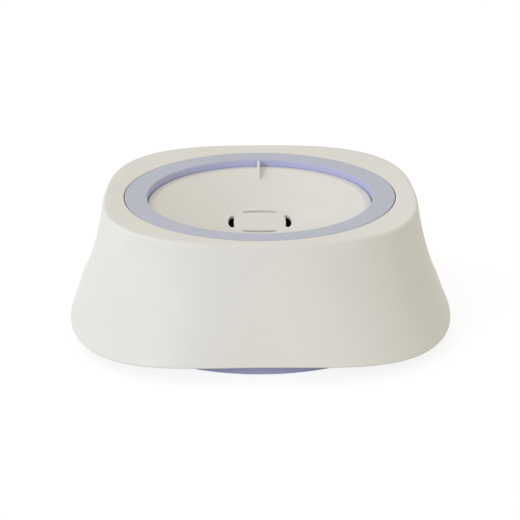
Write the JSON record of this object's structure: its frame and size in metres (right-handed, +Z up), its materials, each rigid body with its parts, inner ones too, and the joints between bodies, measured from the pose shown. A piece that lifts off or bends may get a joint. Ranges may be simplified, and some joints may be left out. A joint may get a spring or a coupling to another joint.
{
  "type": "heated pet bowl",
  "caption": "Heated no-spill water bowl for pets: a round bowl with a floating plate stands on a warm plate inside a skirted housing.",
  "frame": {"origin": "on the floor under the middle of the bowl", "axes": "+Z up along the bowl's axis, the power socket faces +Y"},
  "size_m": [0.2474, 0.2474, 0.0794],
  "materials": {
    "cream_shell": "fine satin grain",
    "lavender_plastic": "satin",
    "cream_float": "satin",
    "housing_plastic": "moulded",
    "foot_rubber": "matte",
    "silicone": "matte",
    "heat_plate_metal": "brushed",
    "screw_steel": "zinc plated",
    "heater_film": "amber film",
    "insulation_foam": "felted",
    "board_laminate": "green solder mask",
    "black_plastic": "moulded",
    "terminal_plastic": "moulded",
    "capacitor_can": "satin",
    "lead_sleeve": "matte"
  },
  "bodies": {
    "housing": {"outer_shell": "cream_shell", "base_pan": "lavender_plastic", "inner_housing": "housing_plastic", "deck_seal": "silicone", "heat_plate": "heat_plate_metal", "plate_seal": "silicone", "heating_film": "heater_film", "insulation_pad": "insulation_foam", "heater_retainer": "housing_plastic", "thermistor": "black_plastic", "thermal_fuse": "screw_steel", "retainer_screw_1": "screw_steel", "retainer_screw_2": "screw_steel", "retainer_screw_3": "screw_steel", "retainer_screw_4": "screw_steel", "control_board": "board_laminate", "board_screw_1": "screw_steel", "board_screw_2": "screw_steel", "board_screw_3": "screw_steel", "board_screw_4": "screw_steel", "control_chip": "black_plastic", "power_transistor": "black_plastic", "heater_terminal": "terminal_plastic", "sensor_terminal": "terminal_plastic", "power_terminal": "terminal_plastic", "smoothing_capacitor": "capacitor_can", "power_socket": "black_plastic", "socket_seal": "silicone", "heater_lead": "lead_sleeve", "sensor_lead": "lead_sleeve", "socket_lead": "lead_sleeve", "rubber_foot_1": "foot_rubber", "rubber_foot_2": "foot_rubber", "rubber_foot_3": "foot_rubber", "rubber_foot_4": "foot_rubber", "shell_screw_1": "screw_steel", "shell_screw_2": "screw_steel", "shell_screw_3": "screw_steel", "shell_screw_4": "screw_steel"},
    "bowl": {"water_bowl": "lavender_plastic"},
    "float": {"float_plate": "cream_float", "float_chamber": "black_plastic"}
  },
  "joints": [
    {"name": "bowl_lift", "type": "slide", "parent": "housing", "child": "bowl", "axis": [0, 0, 1], "range_m": [0, 0.085]},
    {"name": "float_rise", "type": "slide", "parent": "bowl", "child": "float", "axis": [0, 0, 1], "range_m": [-0.0205, 0.045]}
  ]
}
